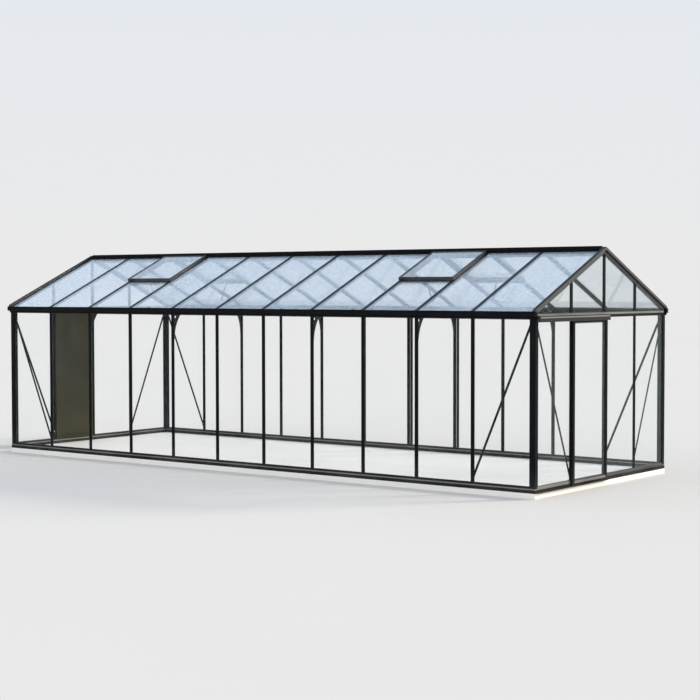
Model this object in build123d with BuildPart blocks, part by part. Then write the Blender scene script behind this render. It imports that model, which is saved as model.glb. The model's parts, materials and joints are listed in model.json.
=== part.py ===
from build123d import *

import os
from math import cos, hypot, radians, sin, tan

# Glass greenhouse with a sliding door in its right gable.
# The long front wall faces -Y, the gable with the door faces +X, and +Z is up.
# The origin is the middle of the floor slab's underside. All sizes are millimetres.

# Layout of the bays
bay = 745.0
long_bays = 11
gable_bays = 4
corner_reach = 50.0
side_reach = 30.0
slab_thickness = 60.0
roof_angle = 24.2

# Heights above the slab, the tie beams lying a step above the eave beams
base_height = 71.0
eave_bottom = 1852.0
gutter_height = 83.0
tie_step = 4.0

# Glass and its seats
glass_thickness = 4.0
glass_seal = 0.3
glass_side_gap = 3.0
glass_groove_gap = 1.0
glass_foot_gap = 0.5
groove_depth = 10.0

# Glazing bar sections: one cap and rebate, a deep web on the roof and a slim one in the walls
bar_set_back = 6.0
cap_width = 40.0
cap_thickness = 5.0
neck_width = 12.0
flange_thickness = 4.0
bar_depth = 40.0
web_width = 24.0
post_depth = 22.0
post_flange = 28.0
post_web = 14.0
upright_cap = 54.0

# Second bars inside the back wall, beside these posts
second_bar_lines = (4, 5)
second_bar_gap = 34.0
second_bar_width = 23.0
second_bar_depth = 26.0

# Base rail section
base_depth = 60.0
base_step_height = 44.0
base_back_depth = 48.0
base_foot_height = 20.0
base_groove_depth = 12.0

# Corner posts
corner_set_back = 2.0
corner_width = 70.0
corner_depth = 60.0
corner_chamfer = 4.0

# Gutter
gutter_reach = 36.0
gutter_step = 24.0
gutter_wall = 4.0
gutter_floor = 6.0
gutter_back = 4.0
gutter_chamfer = 6.0
gutter_end_wall = 3.0
roof_bar_overhang = 10.0
roof_glass_overhang = 15.0

# Ridge, its crown rising above the point where the two roof planes meet
ridge_web = 50.0
ridge_wing = 54.0
ridge_wing_thickness = 6.0
ridge_rise = 37.0
ridge_crown_height = 10.0
ridge_crown = 36.0
ridge_step = 52.0
ridge_drop = 78.0
ridge_glass_gap = 4.0

# Verge bars along the gable rafters, a raised cap over a bar as deep as the roof bars
verge_outer = 16.0
verge_rise = 25.0
verge_crown = 42.0
verge_cap = 30.0
verge_lip_gap = 17.0
verge_mitre_gap = 0.5

# Roof vents
vent_bays = (2, 8)
vent_length = 778.0
vent_height = 40.0
vent_rail = 28.0
vent_ledge = 30.0
vent_lip = 12.0
vent_seat = 0.3
vent_sill_width = 30.0
vent_sill_drop = 30.0
stay_length = 255.0
stay_width = 12.0

# Knee brackets, at the far side of these bays
bracket_bays = (2, 4, 7, 9)
bracket_drop = 307.0
bracket_reach = 105.0
bracket_thickness = 10.0
bracket_foot = 14.0
bracket_hole_radius = 16.0
bracket_hole_inset = 30.0

# Diagonal braces
brace_width = 26.0
brace_thickness = 5.0
brace_set_back = 21.0
brace_end_gap = 30.0

# Sliding door and its track
door_bay = 1
door_overlap = 18.0
door_gap = 6.0
door_thickness = 22.0
door_foot = 26.0
door_head_gap = 6.0
stile_width = 42.0
door_rail_height = 42.0
door_glass_inset = 8.0
track_drop = 36.0
track_height = 65.0
track_depth = 56.0
track_wall = 3.0
track_step = 6.0
track_skirt = 27.0
track_slot = 14.0
track_past_post = 35.0
track_front_gap = 20.0
roller_radius = 13.0
roller_width = 9.0
roller_gap = 0.3
hanger_thickness = 4.0
hanger_width = 40.0
hanger_inset = 110.0
axle_radius = 3.0
guide_depth = 34.0
guide_wall = 3.0
guide_lift = 4.0
guide_lip_height = 16.0
fin_thickness = 4.0
fin_drop = 14.0

# Infill panel of the left gable
panel_frame_width = 30.0
panel_frame_depth = 12.0

# Derived sizes
length = long_bays * bay + 2 * corner_reach
width = gable_bays * bay + 2 * side_reach
half_length = length / 2
half_width = width / 2
floor_top = slab_thickness
base_top = floor_top + base_height
roof_plane_height = eave_bottom + gutter_height
tie_bottom = eave_bottom + tie_step
track_bottom = tie_bottom - track_drop
track_top = track_bottom + track_height
track_floor = track_bottom + track_skirt
track_run = track_floor + track_wall
door_top = track_floor - door_head_gap
slope = tan(radians(roof_angle))
roof_cos = cos(radians(roof_angle))
roof_sin = sin(radians(roof_angle))
glass_face = bar_set_back + cap_thickness + glass_seal
glass_back = glass_face + glass_thickness
rebate = glass_thickness + 2 * glass_seal
bar_back = bar_set_back + bar_depth
post_back = bar_set_back + post_depth
tie_top = roof_plane_height + slope * bar_back - bar_depth / roof_cos
verge_inner = bar_back
pane_gap = neck_width / 2 + glass_side_gap
front_lines = [half_length - corner_reach - bay * k for k in range(1, long_bays)]
gable_lines = [-half_width + side_reach + bay * j for j in range(1, gable_bays)]
glass_foot = floor_top + base_height - base_groove_depth + glass_foot_gap
glass_tuck = groove_depth - glass_groove_gap
ridge_height = roof_plane_height + slope * half_width + ridge_rise
groove_front = glass_face - glass_seal
groove_back = glass_back + glass_seal
corner_side = corner_set_back + corner_width
corner_end = corner_set_back + corner_depth
uphill = Vector(0, roof_cos, roof_sin)

os.makedirs("parts", exist_ok=True)


def roof_height(y):
    """Height of the roof bars' outer faces over a point y on the front slope."""
    return floor_top + roof_plane_height + slope * (y + half_width)


def front_plane(v):
    """Upright plane v outside the front wall's face, X to the right and Z up."""
    return Plane(origin=(0, -half_width - v, 0), x_dir=(1, 0, 0), z_dir=(0, -1, 0))


def gable_plane(v):
    """Upright plane v outside the right gable's face, its X along +Y and its Y up."""
    return Plane(origin=(half_length + v, 0, 0), x_dir=(0, 1, 0), z_dir=(1, 0, 0))


def roof_plane(n):
    """Plane n above the front slope, X to the right and Y up the slope from the wall's face."""
    foot = Vector(0, -half_width, roof_height(-half_width))
    normal = Vector(0, -roof_sin, roof_cos)
    return Plane(origin=foot + normal * n, x_dir=(1, 0, 0), z_dir=normal)


def wall_section_plane(end):
    """Section plane of the front wall at X = end, outward to its X and up to its Y."""
    return Plane(origin=(end, -half_width, floor_top), x_dir=(0, -1, 0), z_dir=(-1, 0, 0))


def gable_section_plane(end):
    """Section plane of the right gable at Y = end, outward to its X and up to its Y."""
    return Plane(origin=(half_length, end, floor_top), x_dir=(1, 0, 0), z_dir=(0, -1, 0))


def outline(plane, points):
    """Closed straight-sided face on a plane."""
    with BuildSketch(plane) as face:
        with BuildLine():
            Polyline(*points, close=True)
        make_face()
    return face.sketch


def mirrored(points):
    """Half outline joined to its mirror image."""
    return points + [(-x, y) for x, y in reversed(points)]


def bar_section(plane, cap, flange, web, depth, stretch=1.0):
    """Section of a glazing bar: cap, rebates, flange and web, outward along the plane's Y."""
    flange_top = cap_thickness + rebate
    flange_bottom = flange_top + flange_thickness
    half = [
        (cap / 2, 0),
        (cap / 2, -cap_thickness * stretch),
        (neck_width / 2, -cap_thickness * stretch),
        (neck_width / 2, -flange_top * stretch),
        (flange / 2, -flange_top * stretch),
        (flange / 2, -flange_bottom * stretch),
        (web / 2, -flange_bottom * stretch),
        (web / 2, -depth * stretch),
    ]
    return outline(plane, mirrored(half))


def post_section(plane, cap=cap_width):
    """Section of the slim bar used for the wall posts and the gable uprights."""
    return bar_section(plane, cap, post_flange, post_web, post_depth)


def rectangle_between(x0, x1, y0, y1):
    """Rectangle between two corners, in the sketch that is open."""
    with Locations(((x0 + x1) / 2, (y0 + y1) / 2)):
        Rectangle(x1 - x0, y1 - y0)


def pane_spans(lines, end):
    """Left and right edges of the panes between the bars on lines and the two ends."""
    lines = sorted(lines)
    starts = [-end] + [line + pane_gap for line in lines]
    stops = [line - pane_gap for line in lines] + [end]
    return list(zip(starts, stops))


def save(name, part):
    """Label a finished piece and write it as a STEP file."""
    part.label = name
    export_step(part, f"parts/{name}.step")


# Floor slab, the base of the building
with BuildPart() as floor_slab:
    Box(length, width, slab_thickness, align=(Align.CENTER, Align.CENTER, Align.MIN))
save("floor_slab", floor_slab.part)

# Base rails with the groove for the glass, the long ones from corner to corner
base_outline = [
    (0, 0),
    (0, base_step_height),
    (-bar_set_back, base_step_height),
    (-bar_set_back, base_height),
    (-groove_front, base_height),
    (-groove_front, base_height - base_groove_depth),
    (-groove_back, base_height - base_groove_depth),
    (-groove_back, base_height),
    (-base_back_depth, base_height),
    (-base_back_depth, base_foot_height),
    (-base_depth, base_foot_height),
    (-base_depth, 0),
]
with BuildPart() as front_base_rail:
    extrude(outline(wall_section_plane(half_length), base_outline), amount=length)
save("front_base_rail", front_base_rail.part)

with BuildPart() as back_base_rail:
    mirror(front_base_rail.part, about=Plane.XZ)
save("back_base_rail", back_base_rail.part)

# Gable rails between the backs of the long ones, coped over their feet
gable_base_end = half_width - base_back_depth
with BuildPart() as right_base_rail:
    extrude(outline(gable_section_plane(0), base_outline), amount=gable_base_end)
    cope = [
        (-gable_base_end, floor_top),
        (base_depth - half_width, floor_top),
        (base_depth - half_width, floor_top + base_foot_height),
        (-gable_base_end, floor_top + base_foot_height),
    ]
    extrude(outline(gable_plane(0), cope), amount=-base_depth, mode=Mode.SUBTRACT)
    mirror(about=Plane.XZ)
save("right_base_rail", right_base_rail.part)

with BuildPart() as left_base_rail:
    mirror(right_base_rail.part, about=Plane.YZ)
save("left_base_rail", left_base_rail.part)

# Corner posts with a glass groove in each of their two inner sides
corner_outline = [
    (corner_set_back + corner_chamfer, corner_set_back),
    (corner_side, corner_set_back),
    (corner_side, groove_front),
    (corner_side - groove_depth, groove_front),
    (corner_side - groove_depth, groove_back),
    (corner_side, groove_back),
    (corner_side, corner_end),
    (groove_back, corner_end),
    (groove_back, corner_end - groove_depth),
    (groove_front, corner_end - groove_depth),
    (groove_front, corner_end),
    (corner_set_back, corner_end),
    (corner_set_back, corner_set_back + corner_chamfer),
]
with BuildPart() as corner_posts:
    corner_points = [(half_length - x, y - half_width) for x, y in corner_outline]
    extrude(outline(Plane.XY.offset(base_top), corner_points), amount=eave_bottom - base_height)
    mirror(about=Plane.XZ)
    mirror(about=Plane.YZ)
save("corner_posts", corner_posts.part)

# Posts of the long walls, from the base rail to the eave beam
with BuildPart() as front_wall_posts:
    for line in front_lines:
        foot = Plane(origin=(line, bar_set_back - half_width, base_top), x_dir=(-1, 0, 0), z_dir=(0, 0, 1))
        extrude(post_section(foot), amount=eave_bottom - base_height)
save("front_wall_posts", front_wall_posts.part)

with BuildPart() as back_wall_posts:
    mirror(front_wall_posts.part, about=Plane.XZ)
    with BuildSketch(Plane.XY.offset(base_top)):
        for k in second_bar_lines:
            bar_left = front_lines[k - 1] + post_flange / 2 + second_bar_gap
            bar_face = half_width - groove_back
            rectangle_between(bar_left, bar_left + second_bar_width, bar_face - second_bar_depth, bar_face)
    extrude(amount=eave_bottom - base_height)
save("back_wall_posts", back_wall_posts.part)


def gable_bar_plane(line, height):
    """Section plane of an upright of the right gable, at Y = line and at a height above the floor."""
    origin = (half_length - bar_set_back, line, floor_top + height)
    return Plane(origin=origin, x_dir=(0, -1, 0), z_dir=(0, 0, 1))


# Posts of the right gable, the middle one and its neighbour being the jambs of the doorway
with BuildPart() as right_gable_posts:
    for line in gable_lines:
        extrude(post_section(gable_bar_plane(line, base_height)), amount=tie_bottom - base_height)
save("right_gable_posts", right_gable_posts.part)


def verge_underside(y):
    """Height above the floor of the underside of the right gable's front verge bar."""
    return roof_height(y) - floor_top - bar_depth / roof_cos


# King and queen posts over the tie beam, cut to the slope of the verge bars
triangle = [
    (bar_back - half_width, floor_top + tie_top),
    (half_width - bar_back, floor_top + tie_top),
    (0, floor_top + verge_underside(0)),
]
with BuildPart() as right_gable_uprights:
    for line in gable_lines:
        upright = post_section(gable_bar_plane(line, tie_top), upright_cap)
        extrude(upright, amount=ridge_height - tie_top)
    extrude(outline(gable_plane(0), triangle), amount=-base_depth, mode=Mode.INTERSECT)
save("right_gable_uprights", right_gable_uprights.part)

with BuildPart() as left_gable_posts:
    mirror(right_gable_posts.part, about=Plane.YZ)
save("left_gable_posts", left_gable_posts.part)

with BuildPart() as left_gable_uprights:
    mirror(right_gable_uprights.part, about=Plane.YZ)
save("left_gable_uprights", left_gable_uprights.part)


def bar_seat(v):
    """Height above the floor of the roof bars' undersides, v outside the wall's face."""
    return roof_plane_height - slope * v - bar_depth / roof_cos


# Gutter and eave beam: the beam carries the roof bars and holds the top of the wall's glass
eave_top = eave_bottom + gutter_height
gutter_bottom = eave_bottom + gutter_step
channel_outline = [
    (gutter_reach, eave_top),
    (gutter_reach, gutter_bottom + gutter_chamfer),
    (gutter_reach - gutter_chamfer, gutter_bottom),
    (0, gutter_bottom),
    (0, eave_bottom),
    (-gutter_back, eave_bottom),
    (-gutter_back, bar_seat(-gutter_back)),
    (0, bar_seat(0)),
    (0, gutter_bottom + gutter_floor),
    (gutter_reach - gutter_wall, gutter_bottom + gutter_floor),
    (gutter_reach - gutter_wall, eave_top),
]
beam_outline = [
    (-gutter_back, eave_bottom),
    (-groove_front, eave_bottom),
    (-groove_front, eave_bottom + groove_depth),
    (-groove_back, eave_bottom + groove_depth),
    (-groove_back, eave_bottom),
    (-bar_back, eave_bottom),
    (-bar_back, bar_seat(-bar_back)),
    (-gutter_back, bar_seat(-gutter_back)),
]
with BuildPart() as front_gutter:
    channel_end = half_length + verge_outer
    extrude(outline(wall_section_plane(channel_end), channel_outline), amount=2 * channel_end)
    extrude(outline(wall_section_plane(half_length), beam_outline), amount=length)
    for end in (channel_end + gutter_end_wall, -channel_end):
        with BuildSketch(wall_section_plane(end)):
            rectangle_between(-gutter_back, gutter_reach, gutter_bottom, eave_top)
        extrude(amount=gutter_end_wall)
save("front_gutter", front_gutter.part)

with BuildPart() as back_gutter:
    mirror(front_gutter.part, about=Plane.XZ)
save("back_gutter", back_gutter.part)

# Tie beams across the gables at eave height, with the glass grooves below and above
tie_outline = [
    (0, tie_top),
    (-groove_front, tie_top),
    (-groove_front, tie_top - groove_depth),
    (-groove_back, tie_top - groove_depth),
    (-groove_back, tie_top),
    (-bar_back, tie_top),
    (-bar_back, tie_bottom),
    (-groove_back, tie_bottom),
    (-groove_back, tie_bottom + groove_depth),
    (-groove_front, tie_bottom + groove_depth),
    (-groove_front, tie_bottom),
    (0, tie_bottom),
]
with BuildPart() as tie_beams:
    tie_end = half_width - bar_back
    extrude(outline(gable_section_plane(tie_end), tie_outline), amount=2 * tie_end)
    mirror(about=Plane.YZ)
save("tie_beams", tie_beams.part)


# Ridge: a web that the roof bars butt against, under a stepped cap whose wings cover the glass
def ridge_plane_height(u):
    """Height above the floor of the roof bars' outer faces, u from the ridge line."""
    return roof_height(-u) - floor_top


wing_bottom = ridge_plane_height(ridge_wing) + glass_seal
ridge_half = [
    (ridge_crown / 2, ridge_height),
    (ridge_step / 2, ridge_height - ridge_crown_height),
    (ridge_step / 2, ridge_plane_height(ridge_step / 2) + glass_seal + ridge_wing_thickness),
    (ridge_wing, wing_bottom + ridge_wing_thickness),
    (ridge_wing, wing_bottom),
    (ridge_web / 2, ridge_plane_height(ridge_web / 2) + glass_seal),
    (ridge_web / 2, ridge_plane_height(0) - ridge_drop),
]
with BuildPart() as ridge_beam:
    ridge_end = half_length - verge_inner
    ridge_foot = Plane(origin=(-ridge_end, 0, floor_top), x_dir=(0, 1, 0), z_dir=(1, 0, 0))
    extrude(outline(ridge_foot, mirrored(ridge_half)), amount=2 * ridge_end)
save("ridge_beam", ridge_beam.part)

# Verge bars: the stepped gable rafters, mitred at the apex and seated on the eave beams
verge_glass_top = -cap_thickness
verge_glass_bottom = -cap_thickness - rebate
verge_outline = [
    (verge_outer, verge_rise),
    (verge_outer, verge_rise - verge_cap),
    (-bar_set_back, verge_rise - verge_cap),
    (-bar_set_back, -bar_depth),
    (-groove_front, -bar_depth),
    (-groove_front, groove_depth - bar_depth),
    (-groove_back, groove_depth - bar_depth),
    (-groove_back, -bar_depth),
    (-verge_inner, -bar_depth),
    (-verge_inner, verge_glass_bottom),
    (groove_depth - verge_inner, verge_glass_bottom),
    (groove_depth - verge_inner, verge_glass_top),
    (-verge_inner, verge_glass_top),
    (-verge_inner, 0),
    (verge_outer - verge_crown, 0),
    (verge_outer - verge_crown, verge_rise),
]
with BuildPart() as right_verge:
    verge_foot = -half_width - gutter_reach + gutter_wall + verge_lip_gap
    verge_end = (half_length, verge_foot, roof_height(verge_foot))
    foot = Plane(origin=verge_end, x_dir=(1, 0, 0), z_dir=(0, -1, 0))
    points = [(x, n / roof_cos) for x, n in verge_outline]
    verge_run = -verge_mitre_gap / 2 - verge_foot
    extrude(outline(foot, points), amount=verge_run / roof_cos, dir=uphill)
    mirror(about=Plane.XZ)
save("right_verge", right_verge.part)

with BuildPart() as left_verge:
    mirror(right_verge.part, about=Plane.YZ)
save("left_verge", left_verge.part)

# Roof bars, from over the gutter to the ridge's web
with BuildPart() as front_roof_bars:
    bar_foot = -half_width - roof_bar_overhang
    bar_run = -ridge_web / 2 - bar_foot
    for line in front_lines:
        foot = Plane(origin=(line, bar_foot, roof_height(bar_foot)), x_dir=(1, 0, 0), z_dir=(0, -1, 0))
        section = bar_section(foot, cap_width, cap_width, web_width, bar_depth, 1 / roof_cos)
        extrude(section, amount=bar_run / roof_cos, dir=uphill)
save("front_roof_bars", front_roof_bars.part)

with BuildPart() as back_roof_bars:
    mirror(front_roof_bars.part, about=Plane.XZ)
save("back_roof_bars", back_roof_bars.part)

# Sills of the vents: cross bars fitted between two roof bars
vent_lines = [half_length - corner_reach - bay * (k + 0.5) for k in vent_bays]
vent_top = (half_width - ridge_wing - vent_height * roof_sin) / roof_cos - vent_seat
sill_foot = vent_top - vent_length
with BuildPart() as vent_sills:
    for line in vent_lines:
        with BuildSketch(roof_plane(0)):
            half_sill = (bay - cap_width) / 2
            rectangle_between(line - half_sill, line + half_sill, sill_foot, sill_foot + vent_sill_width)
        extrude(amount=-vent_sill_drop)
    mirror(about=Plane.XZ)
save("vent_sills", vent_sills.part)

# Glass of the long walls
wall_glass_end = half_length - corner_side + glass_tuck
with BuildPart() as front_wall_glass:
    with BuildSketch(front_plane(-glass_back)):
        for left, right in pane_spans(front_lines, wall_glass_end):
            rectangle_between(left, right, glass_foot, floor_top + eave_bottom + glass_tuck)
    extrude(amount=glass_thickness)
save("front_wall_glass", front_wall_glass.part)

with BuildPart() as back_wall_glass:
    mirror(front_wall_glass.part, about=Plane.XZ)
save("back_wall_glass", back_wall_glass.part)

# Glass of the gables below the tie beams, with the door's bay left open
gable_glass_end = half_width - corner_end + glass_tuck
gable_spans = pane_spans(gable_lines, gable_glass_end)
with BuildPart() as right_gable_glass:
    with BuildSketch(gable_plane(-glass_back)):
        for number, (left, right) in enumerate(gable_spans):
            if number != door_bay:
                rectangle_between(left, right, glass_foot, floor_top + tie_bottom + glass_tuck)
    extrude(amount=glass_thickness)
save("right_gable_glass", right_gable_glass.part)

with BuildPart() as left_gable_glass:
    mirror(right_gable_glass.part, about=Plane.YZ)
save("left_gable_glass", left_gable_glass.part)

# Glass of the gable triangles
top_glass_foot = floor_top + tie_top - glass_tuck
top_glass_rise = floor_top + glass_tuck / roof_cos
top_glass_end = half_width - bar_back - glass_side_gap
with BuildPart() as right_gable_top_glass:
    with BuildSketch(gable_plane(-glass_back)):
        with BuildLine():
            Polyline(
                (-top_glass_end, top_glass_foot),
                (top_glass_end, top_glass_foot),
                (top_glass_end, top_glass_rise + verge_underside(-top_glass_end)),
                (0, top_glass_rise + verge_underside(0)),
                (-top_glass_end, top_glass_rise + verge_underside(-top_glass_end)),
                close=True,
            )
        make_face()
        for line in gable_lines:
            with Locations((line, top_glass_foot)):
                Rectangle(2 * pane_gap, ridge_height, mode=Mode.SUBTRACT)
    extrude(amount=glass_thickness)
save("right_gable_top_glass", right_gable_top_glass.part)

with BuildPart() as left_gable_top_glass:
    mirror(right_gable_top_glass.part, about=Plane.YZ)
save("left_gable_top_glass", left_gable_top_glass.part)

# Infill panel of the left gable: a sheet in the glass rebates with a frame round its inner face
with BuildPart() as left_gable_panel:
    left, right = gable_spans[door_bay]
    panel_top = floor_top + tie_bottom
    with BuildSketch(gable_plane(-glass_back)):
        rectangle_between(left, right, glass_foot, panel_top + glass_tuck)
    extrude(amount=glass_thickness)
    frame_left = gable_lines[door_bay - 1] + cap_width / 2 + glass_side_gap
    frame_right = gable_lines[door_bay] - cap_width / 2 - glass_side_gap
    with BuildSketch(gable_plane(-glass_back)):
        rectangle_between(frame_left, frame_right, base_top, panel_top)
        with Locations(((frame_left + frame_right) / 2, (base_top + panel_top) / 2)):
            Rectangle(
                frame_right - frame_left - 2 * panel_frame_width,
                panel_top - base_top - 2 * panel_frame_width,
                mode=Mode.SUBTRACT,
            )
    extrude(amount=-panel_frame_depth)
    mirror(about=Plane.YZ, mode=Mode.REPLACE)
save("left_gable_panel", left_gable_panel.part)

# Roof glass: whole panes from gutter to ridge, and half panes below the vents
pane_foot = -roof_glass_overhang / roof_cos
pane_top = (half_width - ridge_web / 2 - ridge_glass_gap) / roof_cos
roof_glass_end = half_length - verge_inner + glass_tuck
with BuildPart() as front_roof_glass:
    with BuildSketch(roof_plane(-cap_thickness - glass_seal - glass_thickness)):
        for left, right in pane_spans(front_lines, roof_glass_end):
            under_vent = any(left < line < right for line in vent_lines)
            top = sill_foot - glass_side_gap if under_vent else pane_top
            rectangle_between(left, right, pane_foot, top)
    extrude(amount=glass_thickness)
save("front_roof_glass", front_roof_glass.part)

with BuildPart() as back_roof_glass:
    mirror(front_roof_glass.part, about=Plane.XZ)
save("back_roof_glass", back_roof_glass.part)


# Roof vents: a glazed frame that stands proud of the bars, from the sill to the ridge's wing
vent_width = bay + vent_rail


def vent_sketch(line, height, margin):
    """Vent's rectangle on the roof plane at a height, narrower all round by a margin."""
    with BuildSketch(roof_plane(height)) as face:
        with Locations((line, sill_foot + vent_length / 2)):
            Rectangle(vent_width - 2 * margin, vent_length - 2 * margin)
    return face.sketch


for line, side in zip(vent_lines, ("right", "left")):
    with BuildPart() as vent:
        extrude(vent_sketch(line, vent_seat, 0), amount=vent_height)
        extrude(vent_sketch(line, vent_seat, vent_rail), amount=vent_height, mode=Mode.SUBTRACT)
        extrude(vent_sketch(line, vent_ledge, vent_lip), amount=vent_height, mode=Mode.SUBTRACT)
    save(f"front_{side}_vent", vent.part)
    with BuildPart() as back_vent:
        mirror(vent.part, about=Plane.XZ)
    save(f"back_{side}_vent", back_vent.part)

with BuildPart() as front_vent_glass:
    vent_pane = vent_ledge + glass_seal
    for line in vent_lines:
        extrude(vent_sketch(line, vent_pane, vent_lip + glass_side_gap), amount=glass_thickness)
save("front_vent_glass", front_vent_glass.part)

with BuildPart() as back_vent_glass:
    mirror(front_vent_glass.part, about=Plane.XZ)
save("back_vent_glass", back_vent_glass.part)

# Stays of the vents, hanging square to the roof from the sills
with BuildPart() as vent_stays:
    for line in vent_lines:
        with BuildSketch(roof_plane(-vent_sill_drop)):
            with Locations((line, sill_foot + vent_sill_width / 2)):
                Rectangle(stay_width, stay_width)
        extrude(amount=-stay_length)
    mirror(about=Plane.XZ)
save("vent_stays", vent_stays.part)


# Knee brackets: gussets with a curved edge between a post, the eave beam and the roof bar
def bracket_face(x):
    """Gusset outline on the upright plane across the building at X = x."""
    post_face = post_back - half_width
    beam_face = bar_back - half_width
    tip = beam_face + bracket_reach
    eave = floor_top + eave_bottom
    low = eave - bracket_drop
    high = floor_top + bar_seat(-bar_back - bracket_reach)
    corner = floor_top + bar_seat(-bar_back)
    elbow = (tip, eave)
    toe = (post_face + bracket_foot, low)
    with BuildSketch(Plane(origin=(x, 0, 0), x_dir=(0, 1, 0), z_dir=(1, 0, 0))) as face:
        with BuildLine():
            Polyline(
                elbow,
                (tip, high),
                (beam_face, corner),
                (beam_face, eave),
                (post_face, eave),
                (post_face, low),
                toe,
            )
            TangentArc(toe, elbow, tangent=(0, 1))
        make_face()
        with Locations((post_face + bracket_hole_inset, eave - bracket_hole_inset)):
            Circle(bracket_hole_radius, mode=Mode.SUBTRACT)
    return face.sketch


with BuildPart() as front_knee_brackets:
    for k in bracket_bays:
        line = half_length - corner_reach - bay * k
        extrude(bracket_face(line), amount=bracket_thickness / 2, both=True)
save("front_knee_brackets", front_knee_brackets.part)

with BuildPart() as back_knee_brackets:
    mirror(front_knee_brackets.part, about=Plane.XZ)
save("back_knee_brackets", back_knee_brackets.part)


# Diagonal braces: flat bars from the head of each corner post to the foot of the next post
def brace_points(corner, post, head):
    """Bar from a corner post's side at its head to the next post's side at its foot."""
    head = head - brace_end_gap
    foot = base_top + brace_end_gap
    cut = brace_width * hypot(corner - post, head - foot) / (corner - post)
    return [(corner, head), (corner, head - cut), (post, foot), (post, foot + cut)]


wall_corner = half_length - corner_side
wall_post = front_lines[0] + post_web / 2
wall_brace = brace_points(wall_corner, wall_post, floor_top + eave_bottom)
gable_corner = half_width - corner_end
gable_post = gable_lines[-1] + post_web / 2
gable_brace = brace_points(gable_corner, gable_post, floor_top + tie_bottom)
with BuildPart() as diagonal_braces:
    extrude(outline(front_plane(-brace_set_back), wall_brace), amount=-brace_thickness)
    extrude(outline(gable_plane(-brace_set_back), gable_brace), amount=-brace_thickness)
    mirror(about=Plane.XZ)
    mirror(about=Plane.YZ)
save("diagonal_braces", diagonal_braces.part)

# Door track: a slotted channel with a skirt in front of the door's head and closed ends
track_start = gutter_back + track_front_gap - half_width
track_end = gable_lines[door_bay] + track_past_post
slot_back = door_gap + door_thickness / 2 - track_slot / 2
slot_front = slot_back + track_slot
track_face = track_depth - track_step
track_front = [
    (track_face, track_top),
    (track_face, track_run),
    (track_depth, track_run),
    (track_depth, track_bottom),
]
track_channel = [
    (track_depth - track_wall, track_bottom),
    (track_depth - track_wall, track_floor),
    (slot_front, track_floor),
    (slot_front, track_run),
    (track_face - track_wall, track_run),
    (track_face - track_wall, track_top - track_wall),
    (track_wall, track_top - track_wall),
    (track_wall, track_run),
    (slot_back, track_run),
    (slot_back, track_floor),
    (0, track_floor),
    (0, track_top),
]
end_plate = track_front + [(0, track_bottom), (0, track_top)]
track_length = track_end - track_start
with BuildPart() as door_track:
    extrude(outline(gable_section_plane(track_end), track_front + track_channel), amount=track_length)
    for end in (track_end, track_start + track_wall):
        extrude(outline(gable_section_plane(end), end_plate), amount=track_wall)
save("door_track", door_track.part)

# Bottom guide of the door, a shallow channel on the face of the base rail
guide_outline = [
    (0, guide_lift),
    (0, guide_lift + guide_lip_height),
    (guide_wall, guide_lift + guide_lip_height),
    (guide_wall, guide_lift + guide_wall),
    (guide_depth - guide_wall, guide_lift + guide_wall),
    (guide_depth - guide_wall, guide_lift + guide_lip_height),
    (guide_depth, guide_lift + guide_lip_height),
    (guide_depth, guide_lift),
]
with BuildPart() as door_guide:
    extrude(outline(gable_section_plane(track_end), guide_outline), amount=track_length)
save("door_guide", door_guide.part)

# Sliding door: stiles and rails with a glass groove, two hangers on top and a guide fin below
door_left = gable_lines[door_bay - 1] - door_overlap
door_right = gable_lines[door_bay] + door_overlap
door_middle = (door_left + door_right) / 2
door_width = door_right - door_left
door_height = door_top - door_foot
door_centre_height = floor_top + (door_top + door_foot) / 2
light_width = door_width - 2 * stile_width
light_height = door_height - 2 * door_rail_height
door_core = door_gap + door_thickness / 2
axle_height = floor_top + track_run + roller_gap + roller_radius
hanger_lines = (door_left + hanger_inset, door_right - hanger_inset)


def door_sketch(v, wide, high):
    """Rectangle about the middle of the door, v outside the gable's face."""
    with BuildSketch(gable_plane(v)) as face:
        with Locations((door_middle, door_centre_height)):
            Rectangle(wide, high)
    return face.sketch


with BuildPart() as door_frame:
    extrude(door_sketch(door_gap, door_width, door_height), amount=door_thickness)
    extrude(door_sketch(door_gap, light_width, light_height), amount=door_thickness, mode=Mode.SUBTRACT)
    groove_margin = 2 * (door_glass_inset + glass_foot_gap)
    groove_face = door_sketch(door_core, light_width + groove_margin, light_height + groove_margin)
    extrude(groove_face, amount=rebate / 2, both=True, mode=Mode.SUBTRACT)
    with BuildSketch(gable_plane(door_core)):
        rectangle_between(door_left, door_right, floor_top + door_foot - fin_drop, floor_top + door_foot)
    extrude(amount=fin_thickness / 2, both=True)
    with BuildSketch(gable_plane(door_core)):
        for line in hanger_lines:
            rectangle_between(
                line - hanger_width / 2,
                line + hanger_width / 2,
                floor_top + door_top,
                axle_height + roller_radius,
            )
            with Locations((line, axle_height)):
                Circle(axle_radius + roller_gap, mode=Mode.SUBTRACT)
    extrude(amount=hanger_thickness / 2, both=True)
save("door_frame", door_frame.part)

with BuildPart() as door_glass:
    pane_margin = 2 * door_glass_inset
    pane_face = door_sketch(door_core, light_width + pane_margin, light_height + pane_margin)
    extrude(pane_face, amount=glass_thickness / 2, both=True)
save("door_glass", door_glass.part)

# Rollers: two wheels on each hanger's axle, running on the track's flanges
with BuildPart() as door_rollers:
    for line in hanger_lines:
        with BuildSketch(gable_plane(door_core)):
            with Locations((line, axle_height)):
                Circle(axle_radius)
        extrude(amount=hanger_thickness / 2 + roller_gap + roller_width, both=True)
        with BuildSketch(gable_plane(door_core + hanger_thickness / 2 + roller_gap)):
            with Locations((line, axle_height)):
                Circle(roller_radius)
        extrude(amount=roller_width)
        with BuildSketch(gable_plane(door_core - hanger_thickness / 2 - roller_gap)):
            with Locations((line, axle_height)):
                Circle(roller_radius)
        extrude(amount=-roller_width)
save("door_rollers", door_rollers.part)
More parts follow.
